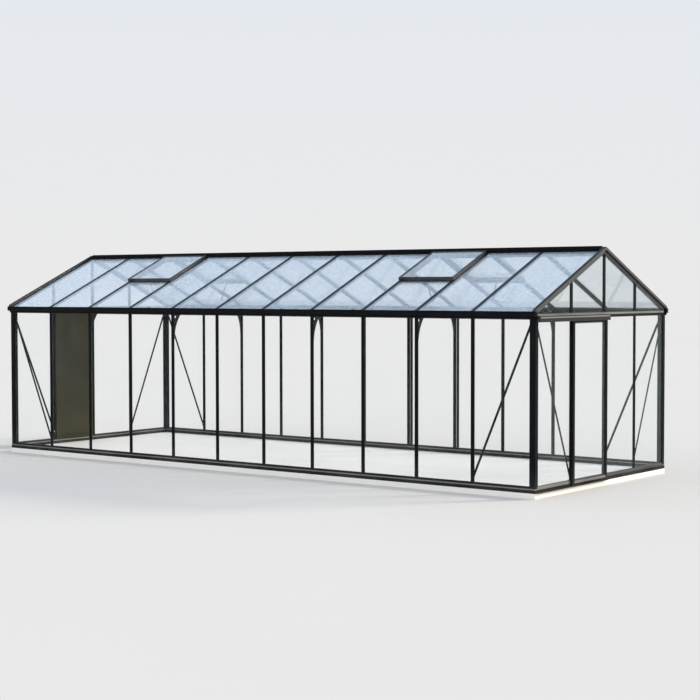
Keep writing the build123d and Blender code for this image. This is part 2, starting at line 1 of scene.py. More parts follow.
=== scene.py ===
import json
import math

import bmesh
import bpy
from bpy.props import FloatProperty, FloatVectorProperty, PointerProperty
from mathutils import Matrix, Vector


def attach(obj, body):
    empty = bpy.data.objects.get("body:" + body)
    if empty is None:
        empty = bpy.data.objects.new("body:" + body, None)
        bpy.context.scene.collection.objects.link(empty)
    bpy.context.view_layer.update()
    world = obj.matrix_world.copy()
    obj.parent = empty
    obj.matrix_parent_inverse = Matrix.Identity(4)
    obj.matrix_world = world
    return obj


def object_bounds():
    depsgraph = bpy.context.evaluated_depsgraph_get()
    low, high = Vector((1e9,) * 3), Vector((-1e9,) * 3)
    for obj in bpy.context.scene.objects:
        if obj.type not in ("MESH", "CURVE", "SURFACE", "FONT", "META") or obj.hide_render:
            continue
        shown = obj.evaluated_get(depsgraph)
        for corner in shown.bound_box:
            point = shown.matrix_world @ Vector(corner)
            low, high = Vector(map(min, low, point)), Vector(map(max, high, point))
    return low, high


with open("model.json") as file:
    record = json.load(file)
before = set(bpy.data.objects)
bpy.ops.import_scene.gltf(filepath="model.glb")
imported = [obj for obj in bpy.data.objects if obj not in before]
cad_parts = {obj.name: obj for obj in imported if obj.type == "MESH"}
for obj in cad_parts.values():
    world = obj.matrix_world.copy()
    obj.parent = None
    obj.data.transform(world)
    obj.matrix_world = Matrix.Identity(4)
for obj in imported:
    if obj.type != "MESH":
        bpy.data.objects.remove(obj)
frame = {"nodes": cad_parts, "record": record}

bl_info = {
    "name": "Glass greenhouse",
    "version": (1, 0, 0),
    "blender": (4, 5, 0),
    "location": "View3D > Sidebar > Greenhouse",
    "description": "Finishes, seals, fixings and studio of a glass greenhouse",
    "category": "Object",
}

# The frame as read from model.glb, in metres, with the front wall facing -Y and the door's gable +X
CAD_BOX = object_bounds()
NODES = frame["nodes"]
SLOTS = {part["node"]: part["material_slot"] for part in frame["record"]["subparts"]}
BUILDING = "building"
DOOR = "door"

# Reading the CAD meshes, in metres and square metres
MERGE_DISTANCE = 0.00002
SMALLEST_PANE = 0.03
SHORTEST_PANE_SIDE = 0.05

# Painted highlight bands of the powder coat: how softly they end, and a reach along Y past both
# walls
BAND_EDGE = 0.002
WHOLE_WIDTH = (-2.0, 2.0)

# Places of the fixings, in metres
SLOPE_FOOT = 0.006  # the roof's slope starts this far outside the wall's face
BAR_SCREWS = (0.06, 1.54)  # first and last screw of a roof bar, up the slope
BAR_SCREWS_UNDER_VENT = (0.06, 0.72)
OUTER_POST_DEPTH = 0.06  # posts set further in have no cap
POST_SCREW_INSET = 0.05
GABLE_SCREW_DROP = 0.07
BRACKET_BOLTS = (0.05, 0.095)  # in from the bracket's outer edge
BRACKET_BOLT_DROP = 0.075
BRACKET_SCREW_INSET = 0.007
BRACKET_SCREW_RISE = (0.03, 0.12)
BRACE_BOLTS = (0.02, 0.98)  # shares of a brace's length
SAME_END = 0.001  # points this close along an axis are at one end
SQUARE_ON = 0.99  # a face turned this far towards an axis looks along it
TRACK_LIP_DEPTH = 0.014  # the upper lip stands this far behind the track's front
TRACK_SCREW_DROP = 0.012
TRACK_SCREW_INSET = 0.08
TRACK_SCREW_PITCH = 0.46
GUIDE_FIN = 0.014  # the fin hangs this far under the door's leaf
LEAF_HEIGHT = 1.815
LEAF_RAIL = 0.042
LEAF_SCREW_INSETS = (0.012, 0.030)
LEAF_SCREW_RISE = 0.02
LEAF_MIDDLE_SCREW = 0.9
HOOK_PLACES = (-1.49, 0.69, 1.75)  # along X
HOOK_CLEARANCE = 0.0004
HOOK_GRIP = 0.004  # the hook's foot is this far under the lip
HOOK_ROUNDING = 0.0015

# Studio: lamps by name, the side they stand on, strength, breadth in degrees and colour
LAMPS = (
    ("key light", (10.8, 13.0, 7.5), 2.64, 14.0, (1.0, 0.94, 0.84)),
    ("front light", (-3.0, -16.0, 8.0), 0.33, 40.0, (0.90, 0.95, 1.0)),
)
WORLD_STRENGTH = 1.12
HORIZON_BLEND = (0.02, 0.6)
FLOOR_RADIUS = 220.0
FLOOR_DROP = 0.001
VIEW_REACH = 400.0


class GreenhouseSizes(bpy.types.PropertyGroup):
    """Sizes of the seals, caps and fixings."""

    roof_pitch: FloatProperty(
        name="Roof pitch", description="Slope of both roof sides",
        default=math.radians(24.2), subtype="ANGLE")
    pane_cover: FloatProperty(
        name="Pane cover", description="How far the bars' caps reach over a pane's edge",
        default=0.010, unit="LENGTH")
    seal_width: FloatProperty(
        name="Seal width", description="Seal that shows beside a cap",
        default=0.0045, unit="LENGTH")
    seal_height: FloatProperty(
        name="Seal height", description="How far a seal stands off the glass",
        default=0.002, unit="LENGTH")
    screw_radius: FloatProperty(
        name="Screw radius", description="Radius of a pan head",
        default=0.0055, unit="LENGTH")
    screw_height: FloatProperty(
        name="Screw height", description="Height of a pan head",
        default=0.003, unit="LENGTH")
    bolt_radius: FloatProperty(
        name="Bolt radius", description="Radius over the corners of a hexagon head",
        default=0.008, unit="LENGTH")
    bolt_height: FloatProperty(
        name="Bolt height", description="Height of a hexagon head",
        default=0.0055, unit="LENGTH")
    washer_radius: FloatProperty(
        name="Washer radius", description="Radius of the washer under a bolt",
        default=0.012, unit="LENGTH")
    washer_height: FloatProperty(
        name="Washer height", description="Thickness of the washer under a bolt",
        default=0.0016, unit="LENGTH")
    cap_height: FloatProperty(
        name="End cap", description="Thickness of the plastic end caps",
        default=0.003, unit="LENGTH")
    screw_pitch: FloatProperty(
        name="Screw pitch", description="Distance between the screws of a cap",
        default=0.37, unit="LENGTH")
    hook_width: FloatProperty(
        name="Hook width", description="Width of a gutter hook",
        default=0.024, unit="LENGTH")
    hook_height: FloatProperty(
        name="Hook height", description="How far a gutter hook stands over the gutter's lip",
        default=0.009, unit="LENGTH")
    hook_depth: FloatProperty(
        name="Hook depth", description="How far a gutter hook reaches in from the lip",
        default=0.012, unit="LENGTH")


class GreenhouseColours(bpy.types.PropertyGroup):
    """Colours of the finishes and of the studio."""

    frame_black: FloatVectorProperty(
        name="Frame", description="Powder coat of the frame", subtype="COLOR",
        default=(0.0050, 0.0055, 0.0068))
    frame_dust: FloatVectorProperty(
        name="Dust", description="Dust on ledges and soil splashed on the base", subtype="COLOR",
        default=(0.19, 0.175, 0.15))
    # Colour of the painted highlights: light bands painted along edges where they would catch the
    # light
    painted_highlight: FloatVectorProperty(
        name="Rubbed", description="Bands where the coat is rubbed and catches the light",
        subtype="COLOR", default=(0.27, 0.25, 0.22))
    # Pale blue of the roof glass: a film, and painted reflection of the sky
    haze_and_sky_reflection: FloatVectorProperty(
        name="Glass film", description="Film on the roof glass", subtype="COLOR",
        default=(0.84, 0.905, 0.985))
    clear_film: FloatVectorProperty(
        name="Clear film", description="Film on the wall glass", subtype="COLOR",
        default=(0.80, 0.88, 0.88))
    glass_green: FloatVectorProperty(
        name="Glass green", description="Green cast in the film on the panes", subtype="COLOR",
        default=(0.42, 0.66, 0.60))
    concrete: FloatVectorProperty(
        name="Concrete", description="Floated floor slab", subtype="COLOR",
        default=(0.99, 0.925, 0.835))
    concrete_stain: FloatVectorProperty(
        name="Stains", description="Darker clouds in the slab", subtype="COLOR",
        default=(0.82, 0.77, 0.695))
    panel: FloatVectorProperty(
        name="Panel", description="Sheet of the left gable's infill panel", subtype="COLOR",
        default=(0.0255, 0.0230, 0.0108))
    seal: FloatVectorProperty(
        name="Seal", description="Black glazing seal", subtype="COLOR",
        default=(0.006, 0.006, 0.007))
    plastic: FloatVectorProperty(
        name="Plastic", description="End caps and gutter hooks", subtype="COLOR",
        default=(0.010, 0.010, 0.011))
    nylon: FloatVectorProperty(
        name="Nylon", description="The door's rollers", subtype="COLOR",
        default=(0.02, 0.02, 0.021))
    black_screw: FloatVectorProperty(
        name="Black screws", description="Blackened screw heads", subtype="COLOR",
        default=(0.03, 0.03, 0.032))
    plated_steel: FloatVectorProperty(
        name="Plated steel", description="Bolts of the brackets and braces", subtype="COLOR",
        default=(0.30, 0.30, 0.31))
    studio: FloatVectorProperty(
        name="Studio floor", description="Pale floor round the building", subtype="COLOR",
        default=(0.778, 0.719, 0.649))
    horizon: FloatVectorProperty(
        name="Horizon", description="Surroundings at eye level", subtype="COLOR",
        default=(0.733, 0.733, 0.733))
    overhead: FloatVectorProperty(
        name="Overhead", description="Surroundings overhead", subtype="COLOR",
        default=(0.60, 0.71, 0.87))


class GreenhouseView(bpy.types.PropertyGroup):
    """The camera, as fitted to the posts, eaves and ridge of the building."""

    place: FloatVectorProperty(
        name="Place", description="Where the camera stands", subtype="TRANSLATION",
        unit="LENGTH", default=(12.886, -16.2154, 2.2614))
    yaw: FloatProperty(
        name="Yaw", description="Turn to the left of +Y",
        default=math.radians(37.313), subtype="ANGLE")
    pitch: FloatProperty(
        name="Pitch", description="Tilt above the horizon",
        default=math.radians(-2.261), subtype="ANGLE")
    roll: FloatProperty(
        name="Roll", description="Lean about the line of sight",
        default=math.radians(-0.073), subtype="ANGLE")
    lens: FloatProperty(
        name="Lens", description="Focal length on a 36 mm sensor, in millimetres", default=82.82)


# Node trees of the finishes

def node(tree, kind, inputs=None, **settings):
    """New shader node with its settings, and its inputs given as values or as sockets to link."""
    made = tree.nodes.new("ShaderNode" + kind)
    for key, value in settings.items():
        setattr(made, key, value)
    for key, value in (inputs or {}).items():
        if isinstance(value, bpy.types.NodeSocket):
            tree.links.new(value, made.inputs[key])
        else:
            made.inputs[key].default_value = value
    return made


def maths(tree, operation, first, second=0.0, clamp=False):
    """Result of one Math node."""
    made = node(tree, "Math", {0: first, 1: second}, operation=operation, use_clamp=clamp)
    return made.outputs[0]


def blend(tree, share, first, second):
    """Colour between two others."""
    made = node(tree, "Mix", {0: share, 6: first, 7: second}, data_type="RGBA")
    return made.outputs[2]


def spread(tree, value, low, high, to_low=0.0, to_high=1.0):
    """Value moved from one range into another and kept inside it."""
    inputs = {
        "Value": value, "From Min": low, "From Max": high, "To Min": to_low, "To Max": to_high}
    return node(tree, "MapRange", inputs, clamp=True).outputs["Result"]


def clouds(tree, place, scale, detail=4.0, stretch=(1, 1, 1), roughness=0.5):
    """Noise over the piece, in cycles per metre, drawn out along the axes."""
    spot = node(tree, "Mapping", {"Vector": place, "Scale": stretch}).outputs[0]
    inputs = {"Vector": spot, "Scale": scale, "Detail": detail, "Roughness": roughness}
    return node(tree, "TexNoise", inputs).outputs["Fac"]


def opaque(colour):
    """Colour with full alpha."""
    return (*colour, 1.0)


def new_finish(name):
    """Empty finish: its material, tree, shader and the object's own coordinates."""
    finish = bpy.data.materials.new(name)
    finish.use_nodes = True
    tree = finish.node_tree
    tree.nodes.clear()
    shader = node(tree, "BsdfPrincipled")
    node(tree, "OutputMaterial", {"Surface": shader.outputs[0]})
    place = node(tree, "TexCoord").outputs["Object"]
    return finish, tree, shader, place


def set_inputs(tree, shader, inputs):
    """Set or link the shader's inputs."""
    for key, value in inputs.items():
        if isinstance(value, bpy.types.NodeSocket):
            tree.links.new(value, shader.inputs[key])
        else:
            shader.inputs[key].default_value = value


def relief(tree, height, distance, strength=1.0):
    """Normal of a bumped surface, its depth in metres."""
    inputs = {"Height": height, "Distance": distance, "Strength": strength}
    return node(tree, "Bump", inputs).outputs[0]


def powder_coat(name, colours, gloss, chalk=0.0, painted_highlight=()):
    """Black powder coat with dusty ledges, rain runs, soil on the base and bands of painted
    highlight.

    Chalk is the least roughness of what faces up as steeply as the roof. A band is its lowest and
    highest height, its first and last y, and how much it shows."""
    finish, tree, shader, place = new_finish(name)
    patches = clouds(tree, place, 2.2, 5.0)
    runs = clouds(tree, place, 1.0, 6.0, (42, 42, 1.6))
    peel = clouds(tree, place, 620.0, 2.0)
    normal = node(tree, "NewGeometry").outputs["Normal"]
    upward = node(tree, "SeparateXYZ", {0: normal}).outputs["Z"]
    ledge = spread(tree, upward, 0.93, 1.0, 0.0, 0.22)
    parts = node(tree, "SeparateXYZ", {0: place}).outputs
    across, height = parts["Y"], parts["Z"]
    low_down = spread(tree, height, 0.34, 0.05)
    splash = maths(tree, "MULTIPLY", low_down, spread(tree, patches, 0.35, 0.7))
    streak = spread(tree, runs, 0.58, 0.8, 0.0, 0.06)
    film = maths(tree, "MULTIPLY", ledge, spread(tree, patches, 0.25, 0.75, 0.3, 1.0))
    film = maths(tree, "ADD", film, maths(tree, "MULTIPLY", splash, 0.2))
    film = maths(tree, "ADD", film, streak, clamp=True)
    colour = blend(tree, film, opaque(colours.frame_black), opaque(colours.frame_dust))
    # Painted highlight: each band lightens the coat towards the highlight colour
    for low, high, first, last, most in painted_highlight:
        band = spread(tree, height, low - BAND_EDGE, low + BAND_EDGE)
        for fade in (
            spread(tree, height, high + BAND_EDGE, high - BAND_EDGE),
            spread(tree, across, first - BAND_EDGE, first + BAND_EDGE),
            spread(tree, across, last + BAND_EDGE, last - BAND_EDGE),
            spread(tree, patches, 0.2, 0.6, 0.6 * most, 0.95 * most),
        ):
            band = maths(tree, "MULTIPLY", band, fade)
        colour = blend(tree, band, colour, opaque(colours.painted_highlight))
    satin = spread(tree, maths(tree, "ADD", film, runs), 0.3, 1.2, 0.34, 0.62)
    set_inputs(tree, shader, {
        "Base Color": colour,
        "Roughness": maths(
            tree, "MAXIMUM", satin, spread(tree, upward, 0.84, 0.86, 0.0, chalk)),
        "Specular IOR Level": gloss,
        "Normal": relief(tree, peel, 0.00025, 0.35),
    })
    return finish


def pane(name, film, green, thinnest, thickest, gloss, mirror):
    """Float glass: a thin uneven film with greenish spots, and more of it at a shallow angle, where
    its colour is painted reflection.
    """
    finish, tree, shader, place = new_finish(name)
    drift = clouds(tree, place, 0.5, 2.0, (1, 1, 1.4))
    wash = clouds(tree, place, 17.0, 6.0, (1.3, 1, 0.6), 0.72)
    spots = clouds(tree, place, 26.0, 3.0)
    haze = maths(
        tree, "ADD", maths(tree, "MULTIPLY", drift, 0.7), maths(tree, "MULTIPLY", wash, 0.3))
    film_share = spread(tree, haze, 0.40, 0.60, thinnest, thickest)
    # At a shallow angle more of the film's colour shows: painted reflection, beside the shader's
    # own metallic reflection
    slant = node(tree, "LayerWeight", {"Blend": 0.5}).outputs["Facing"]
    shallow = maths(tree, "POWER", slant, 5.0)
    share = maths(tree, "ADD", film_share, maths(tree, "MULTIPLY", shallow, gloss), clamp=True)
    grime = blend(tree, spread(tree, spots, 0.45, 0.75), opaque(film), opaque(green))
    dull = opaque(tuple(part * 0.8 for part in film))
    set_inputs(tree, shader, {
        "Base Color": blend(tree, spread(tree, wash, 0.36, 0.58), dull, grime),
        "Metallic": mirror,
        "Roughness": spread(tree, wash, 0.3, 0.7, 0.025, 0.12),
        "IOR": 1.52,
        "Alpha": share,
    })
    return finish


def floated_concrete(name, colour, stain):
    """Pale floated slab with trowel sweeps, clouds and fine pores."""
    finish, tree, shader, place = new_finish(name)
    broad = clouds(tree, place, 0.75, 5.0, (0.6, 1, 1), 0.6)
    sweeps = clouds(tree, place, 3.0, 6.0, (0.5, 3.2, 1), 0.6)
    pores = clouds(tree, place, 260.0, 3.0)
    dirt = spread(tree, broad, 0.45, 0.78, 0.0, 0.5)
    dirt = maths(tree, "ADD", dirt, spread(tree, sweeps, 0.5, 0.8, 0.0, 0.3))
    dirt = maths(tree, "ADD", dirt, spread(tree, pores, 0.58, 0.8, 0.0, 0.35), clamp=True)
    set_inputs(tree, shader, {
        "Base Color": blend(tree, dirt, opaque(colour), opaque(stain)),
        "Roughness": spread(tree, sweeps, 0.3, 0.7, 0.42, 0.68),
        "Normal": relief(tree, pores, 0.0006, 0.5),
    })
    return finish


def coated_sheet(name, colour):
    """Matt brown sheet with cloudy weathering and upright rain marks."""
    finish, tree, shader, place = new_finish(name)
    mottle = clouds(tree, place, 3.2, 6.0, (1, 1, 0.7), 0.62)
    marks = clouds(tree, place, 5.0, 5.0, (1, 7, 1.3))
    grain = clouds(tree, place, 420.0, 2.0)
    pale = tuple(min(1.0, part * 2.3) for part in colour)
    share = maths(tree, "MULTIPLY", spread(tree, mottle, 0.35, 0.72), 0.65)
    share = maths(tree, "ADD", share, spread(tree, marks, 0.50, 0.70, 0.0, 0.5), clamp=True)
    set_inputs(tree, shader, {
        "Base Color": blend(tree, share, opaque(colour), opaque(pale)),
        "Roughness": spread(tree, mottle, 0.3, 0.7, 0.5, 0.75),
        "Specular IOR Level": 0.1,
        "Normal": relief(tree, grain, 0.0003, 0.4),
    })
    return finish


def moulded(name, colour, roughness, scale=300.0, metallic=0.0):
    """Plastic, rubber or plated steel with a fine grain and slight fading."""
    finish, tree, shader, place = new_finish(name)
    fading = clouds(tree, place, 14.0, 4.0)
    grain = clouds(tree, place, scale, 2.0)
    faded = tuple(min(1.0, part * 1.5 + 0.01) for part in colour)
    set_inputs(tree, shader, {
        "Base Color": blend(tree, spread(tree, fading, 0.35, 0.7), opaque(colour), opaque(faded)),
        "Metallic": metallic,
        "Roughness": spread(tree, grain, 0.3, 0.7, roughness - 0.08, roughness + 0.1),
        "Normal": relief(tree, grain, 0.0002, 0.3),
    })
    return finish


# Shapes of the added pieces

def add_block(bm, low, high, rounding):
    """Block between two corners with rounded edges."""
    low, high = Vector(low), Vector(high)
    size = Matrix.Diagonal((*(high - low), 1))
    matrix = Matrix.Translation((low + high) / 2) @ size
    verts = bmesh.ops.create_cube(bm, size=1.0, matrix=matrix)["verts"]
    edges = list({edge for vert in verts for edge in vert.link_edges})
    bmesh.ops.bevel(
        bm, geom=edges, offset=rounding, offset_type="OFFSET", affect="EDGES",
        segments=2, profile=0.5, material=-1)


def facing(direction, spot):
    """Matrix that stands a turned piece on a spot, its axis along a direction."""
    return Matrix.Translation(spot) @ Vector(direction).to_track_quat("Z", "Y").to_matrix().to_4x4()


def add_disc(bm, radius, height, sides, direction, spot, crown=1.0):
    """Disc or hexagon standing on a spot, its top narrowed to a crown."""
    matrix = facing(direction, spot) @ Matrix.Translation((0, 0, height / 2))
    bmesh.ops.create_cone(
        bm, cap_ends=True, segments=sides, radius1=radius, radius2=radius * crown,
        depth=height, matrix=matrix)


def add_screw(bm, spot, direction, sizes):
    """Pan-head screw with a low crowned top."""
    rim = sizes.screw_height * 0.6
    add_disc(bm, sizes.screw_radius, rim, 12, direction, spot)
    top = Vector(spot) + Vector(direction).normalized() * rim
    add_disc(bm, sizes.screw_radius, sizes.screw_height - rim, 12, direction, top, 0.6)


def add_bolt(bm, spot, direction, sizes):
    """Hexagon bolt on its washer."""
    add_disc(bm, sizes.washer_radius, sizes.washer_height, 20, direction, spot)
    top = Vector(spot) + Vector(direction).normalized() * sizes.washer_height
    add_disc(bm, sizes.bolt_radius, sizes.bolt_height, 6, direction, top, 0.93)


def finish_piece(name, bm, body, material):
    """Turn the shape into an object that rides on a body."""
    bmesh.ops.recalc_face_normals(bm, faces=bm.faces)
    mesh = bpy.data.meshes.new(name)
    bm.to_mesh(mesh)
    bm.free()
    mesh.materials.append(material)
    piece = bpy.data.objects.new(name, mesh)
    bpy.context.scene.collection.objects.link(piece)
    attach(piece, body)


def merged_copy(name):
    """Shape of a CAD node with its loose triangles joined into whole faces."""
    bm = bmesh.new()
    bm.from_mesh(NODES[name].data)
    bmesh.ops.remove_doubles(bm, verts=bm.verts, dist=MERGE_DISTANCE)
    bmesh.ops.dissolve_limit(bm, angle_limit=math.radians(1), verts=bm.verts, edges=bm.edges)
    return bm


def solids_of(name):
    """Corner points of each separate solid in a CAD node."""
    bm = merged_copy(name)
    left = set(bm.verts)
    solids = []
    while left:
        grown = [left.pop()]
        points = []
        while grown:
            vert = grown.pop()
            points.append(vert.co.copy())
            for edge in vert.link_edges:
                other = edge.other_vert(vert)
                if other in left:
                    left.remove(other)
                    grown.append(other)
        solids.append(points)
    bm.free()
    return solids


def limits(points):
    """Lowest and highest corner of some points."""
    low = Vector(min(point[axis] for point in points) for axis in range(3))
    high = Vector(max(point[axis] for point in points) for axis in range(3))
    return low, high


def slope_point(sizes, x, side, run):
    """Point on a roof side, run metres up the slope from its foot, and the way it faces."""
    foot = limits(corner_points("front_wall_posts"))[0].y - SLOPE_FOOT
    height = top_of("front_gutter")
    facing_out = Vector((0, -math.sin(sizes.roof_pitch) * side, math.cos(sizes.roof_pitch)))
    along = Vector((0, math.cos(sizes.roof_pitch) * side, math.sin(sizes.roof_pitch)))
    spot = Vector((x, foot * side, height)) + along * run
    return spot, facing_out


def corner_points(name):
    """Corner points of a whole CAD node."""
    return [vert.co for vert in NODES[name].data.vertices]


def top_of(name):
    """Height of a CAD node's highest point."""
    return limits(corner_points(name))[1].z


def painted_highlight_band(top, deep, shallow, reach=WHOLE_WIDTH, most=1.0):
    """Band of painted highlight between two depths under a piece's top, over a reach along Y."""
    return top - deep, top - shallow, *reach, most


def steps(low, high, pitch):
    """Even places between two ends, no further apart than the pitch."""
    count = max(1, math.ceil((high - low) / pitch))
    return [low + (high - low) * number / count for number in range(count + 1)]


def coat_nodes(names, material):
    """Give CAD nodes a finish."""
    for name in names:
        slots = NODES[name].material_slots
        for number in range(len(slots)):
            slots[number].link = "OBJECT"
            slots[number].material = material


def named(slot):
    """CAD nodes that take their finish from a slot."""
    return [name for name, given in SLOTS.items() if given == slot]


class GREENHOUSE_OT_coat_frame(bpy.types.Operator):
    """Powder coat on every bar, beam, rail and bracket"""

    bl_idname = "greenhouse.coat_frame"
    bl_label = "Coat the frame"

    def execute(self, context):
        colours = context.scene.greenhouse_colours
        frame_nodes = named("black_frame")
        roof = [name for name in frame_nodes if any(
            kind in name for kind in ("bars", "bracket", "vent"))]
        lit = [name for name in frame_nodes if "verge" in name or name.endswith("_vent")]
        rails = [name for name in frame_nodes if "base_rail" in name or "guide" in name]
        # Painted highlights: light bands on the tie beam, the track, the base rails, the door's
        # sill and the leaf's bottom rail
        tie = painted_highlight_band(top_of("tie_beams"), 0.028, 0.005)
        track = painted_highlight_band(top_of("door_track"), 0.024, 0.010)
        sill = top_of("right_base_rail")
        edge = painted_highlight_band(sill, 0.034, 0.021)
        near, far = limits(corner_points("door_frame"))
        # The sill's painted highlight is stronger in front of the door than behind it
        near_sill_highlight = painted_highlight_band(sill, 0.033, -0.01, (WHOLE_WIDTH[0], near.y))
        far_sill_highlight = painted_highlight_band(sill, 0.030, -0.01, (far.y, WHOLE_WIDTH[1]), 0.4)
        rail_top = near.z + GUIDE_FIN + LEAF_RAIL
        between_stiles = (near.y + LEAF_RAIL, far.y - LEAF_RAIL)
        leaf_rail_highlight = painted_highlight_band(rail_top, 0.030, 0.0, between_stiles, 0.9)
        for names, label, gloss, chalk, painted_highlight in (
            (frame_nodes, "black", 0.05, 0.0, []),
            (roof, "roof bar", 0.2, 0.0, []),
            (lit, "verge", 0.9, 1.0, []),
            (["tie_beams"], "tie beam", 0.06, 0.0, [tie]),
            (["door_track"], "track", 0.25, 0.0, [track]),
            (rails, "base rail", 0.12, 0.0, [edge]),
            (["right_base_rail"], "door sill", 0.09, 0.0, [near_sill_highlight, far_sill_highlight]),
            (["door_frame"], "door", 0.05, 0.0, [leaf_rail_highlight]),
        ):
            coat_nodes(names, powder_coat(f"{label} powder coat", colours, gloss, chalk, painted_highlight))
        return {"FINISHED"}


class GREENHOUSE_OT_glaze(bpy.types.Operator):
    """Glass of the roof, its vents, the walls and the door"""

    bl_idname = "greenhouse.glaze"
    bl_label = "Glaze"

    def execute(self, context):
        colours = context.scene.greenhouse_colours
        green = colours.glass_green
        # The roof glass's pale film colour is partly painted sky reflection
        roof = pane("roof glass", colours.haze_and_sky_reflection, green, 0.20, 0.40, 1.0, 0.3)
        wall = pane("wall glass", colours.clear_film, green, 0.006, 0.018, 0.8, 0.5)
        for name in named("clear_glass"):
            coat_nodes([name], roof if "roof" in name or "vent" in name else wall)
        return {"FINISHED"}


class GREENHOUSE_OT_cast_floor(bpy.types.Operator):
    """Floated concrete of the floor slab"""

    bl_idname = "greenhouse.cast_floor"
    bl_label = "Cast the floor"

    def execute(self, context):
        colours = context.scene.greenhouse_colours
        slab = floated_concrete("floated concrete", colours.concrete, colours.concrete_stain)
        coat_nodes(named("concrete"), slab)
        return {"FINISHED"}


class GREENHOUSE_OT_fit_panel(bpy.types.Operator):
    """Coated sheet of the left gable's panel, and the rollers' nylon"""

    bl_idname = "greenhouse.fit_panel"
    bl_label = "Finish the panel and rollers"

    def execute(self, context):
        colours = context.scene.greenhouse_colours
        coat_nodes(named("panel_sheet"), coated_sheet("brown coated sheet", colours.panel))
        coat_nodes(named("roller_plastic"), moulded("black nylon", colours.nylon, 0.4))
        return {"FINISHED"}


def add_seals(bm, name, sizes, open_foot):
    """Seals on both faces of each pane, along the caps that hold it."""
    glass = merged_copy(name)
    widest = [
        face for face in glass.faces
        if face.calc_area() > SMALLEST_PANE
        and min(edge.calc_length() for edge in face.edges) > SHORTEST_PANE_SIDE]
    edges = [face for face in glass.faces if face not in widest]
    bmesh.ops.delete(glass, geom=edges, context="FACES")
    covered = bmesh.ops.inset_individual(
        glass, faces=widest, thickness=sizes.pane_cover, use_even_offset=True)["faces"]
    bmesh.ops.delete(glass, geom=covered, context="FACES")
    strips = bmesh.ops.inset_individual(
        glass, faces=widest, thickness=sizes.seal_width, use_even_offset=True)["faces"]
    if open_foot:
        lowest = min(vert.co.z for vert in glass.verts)
        feet = [face for face in strips if face.calc_center_median().z < lowest + sizes.pane_cover]
        widest = widest + feet
        strips = [face for face in strips if face not in feet]
    bmesh.ops.delete(glass, geom=widest, context="FACES")
    raised = bmesh.ops.extrude_face_region(glass, geom=strips)["geom"]
    for face in [part for part in raised if isinstance(part, bmesh.types.BMFace)]:
        face.normal_update()
    tops = [part for part in raised if isinstance(part, bmesh.types.BMVert)]
    for vert in tops:
        outward = next(f.normal for f in vert.link_faces if f in raised)
        vert.co += outward * sizes.seal_height
    mesh = bpy.data.meshes.new("seal shape")
    glass.to_mesh(mesh)
    glass.free()
    bm.from_mesh(mesh)
    bpy.data.meshes.remove(mesh)


class GREENHOUSE_OT_lay_seals(bpy.types.Operator):
    """Glazing seals round every pane, inside and outside"""

    bl_idname = "greenhouse.lay_seals"
    bl_label = "Lay the seals"

    def execute(self, context):
        sizes = context.scene.greenhouse_sizes
        seal = moulded("glazing seal", context.scene.greenhouse_colours.seal, 0.35)
        for name in named("clear_glass"):
            bm = bmesh.new()
            add_seals(bm, name, sizes, "roof" in name)
            body = DOOR if name.startswith("door") else BUILDING
            finish_piece(name.replace("glass", "seals"), bm, body, seal)
        return {"FINISHED"}


class GREENHOUSE_OT_drive_screws(bpy.types.Operator):
    """Pan-head screws along the caps of the posts and roof bars"""

    bl_idname = "greenhouse.drive_screws"
    bl_label = "Drive the cap screws"

    def execute(self, context):
        sizes = context.scene.greenhouse_sizes
        colours = context.scene.greenhouse_colours
        steel = moulded("black screws", colours.black_screw, 0.35, 500.0, 0.9)
        for side, wall in ((1, "front"), (-1, "back")):
            bars = self.screw_bars(sizes, side, wall)
            finish_piece(f"{wall}_roof_bar_screws", bars, BUILDING, steel)
            posts = self.screw_posts(sizes, side, wall)
            finish_piece(f"{wall}_post_screws", posts, BUILDING, steel)
        for side, gable in ((1, "right"), (-1, "left")):
            posts = self.screw_gable(sizes, side, gable)
            finish_piece(f"{gable}_gable_screws", posts, BUILDING, steel)
        return {"FINISHED"}

    def screw_bars(self, sizes, side, wall):
        """Screws up the roof bars, which end under a vent where it covers the bar."""
        bm = bmesh.new()
        vents = [
            limits(solid) for end in ("left", "right") for solid in solids_of(f"{wall}_{end}_vent")]
        for points in solids_of(f"{wall}_roof_bars"):
            low, high = limits(points)
            middle = (low.x + high.x) / 2
            covered = any(first.x < middle < last.x for first, last in vents)
            first_run, last_run = BAR_SCREWS_UNDER_VENT if covered else BAR_SCREWS
            for run in steps(first_run, last_run, sizes.screw_pitch):
                spot, out = slope_point(sizes, middle, side, run)
                add_screw(bm, spot, out, sizes)
        return bm

    def screw_posts(self, sizes, side, wall):
        """Screws up the outer faces of a long wall's posts."""
        bm = bmesh.new()
        for points in solids_of(f"{wall}_wall_posts"):
            low, high = limits(points)
            face = low.y if side > 0 else high.y
            if abs(face) < abs(CAD_BOX[0][1]) - OUTER_POST_DEPTH:
                continue
            middle = (low.x + high.x) / 2
            ends = (low.z + POST_SCREW_INSET, high.z - POST_SCREW_INSET)
            for height in steps(*ends, sizes.screw_pitch):
                add_screw(bm, (middle, face, height), (0, -side, 0), sizes)
        return bm

    def screw_gable(self, sizes, side, gable):
        """Screws up the outer faces of a gable's posts."""
        bm = bmesh.new()
        for name in (f"{gable}_gable_posts", f"{gable}_gable_uprights"):
            for points in solids_of(name):
                low, high = limits(points)
                face = high.x if side > 0 else low.x
                middle = (low.y + high.y) / 2
                ends = (low.z + POST_SCREW_INSET, high.z - GABLE_SCREW_DROP)
                for height in steps(*ends, sizes.screw_pitch):
                    add_screw(bm, (face, middle, height), (side, 0, 0), sizes)
        return bm


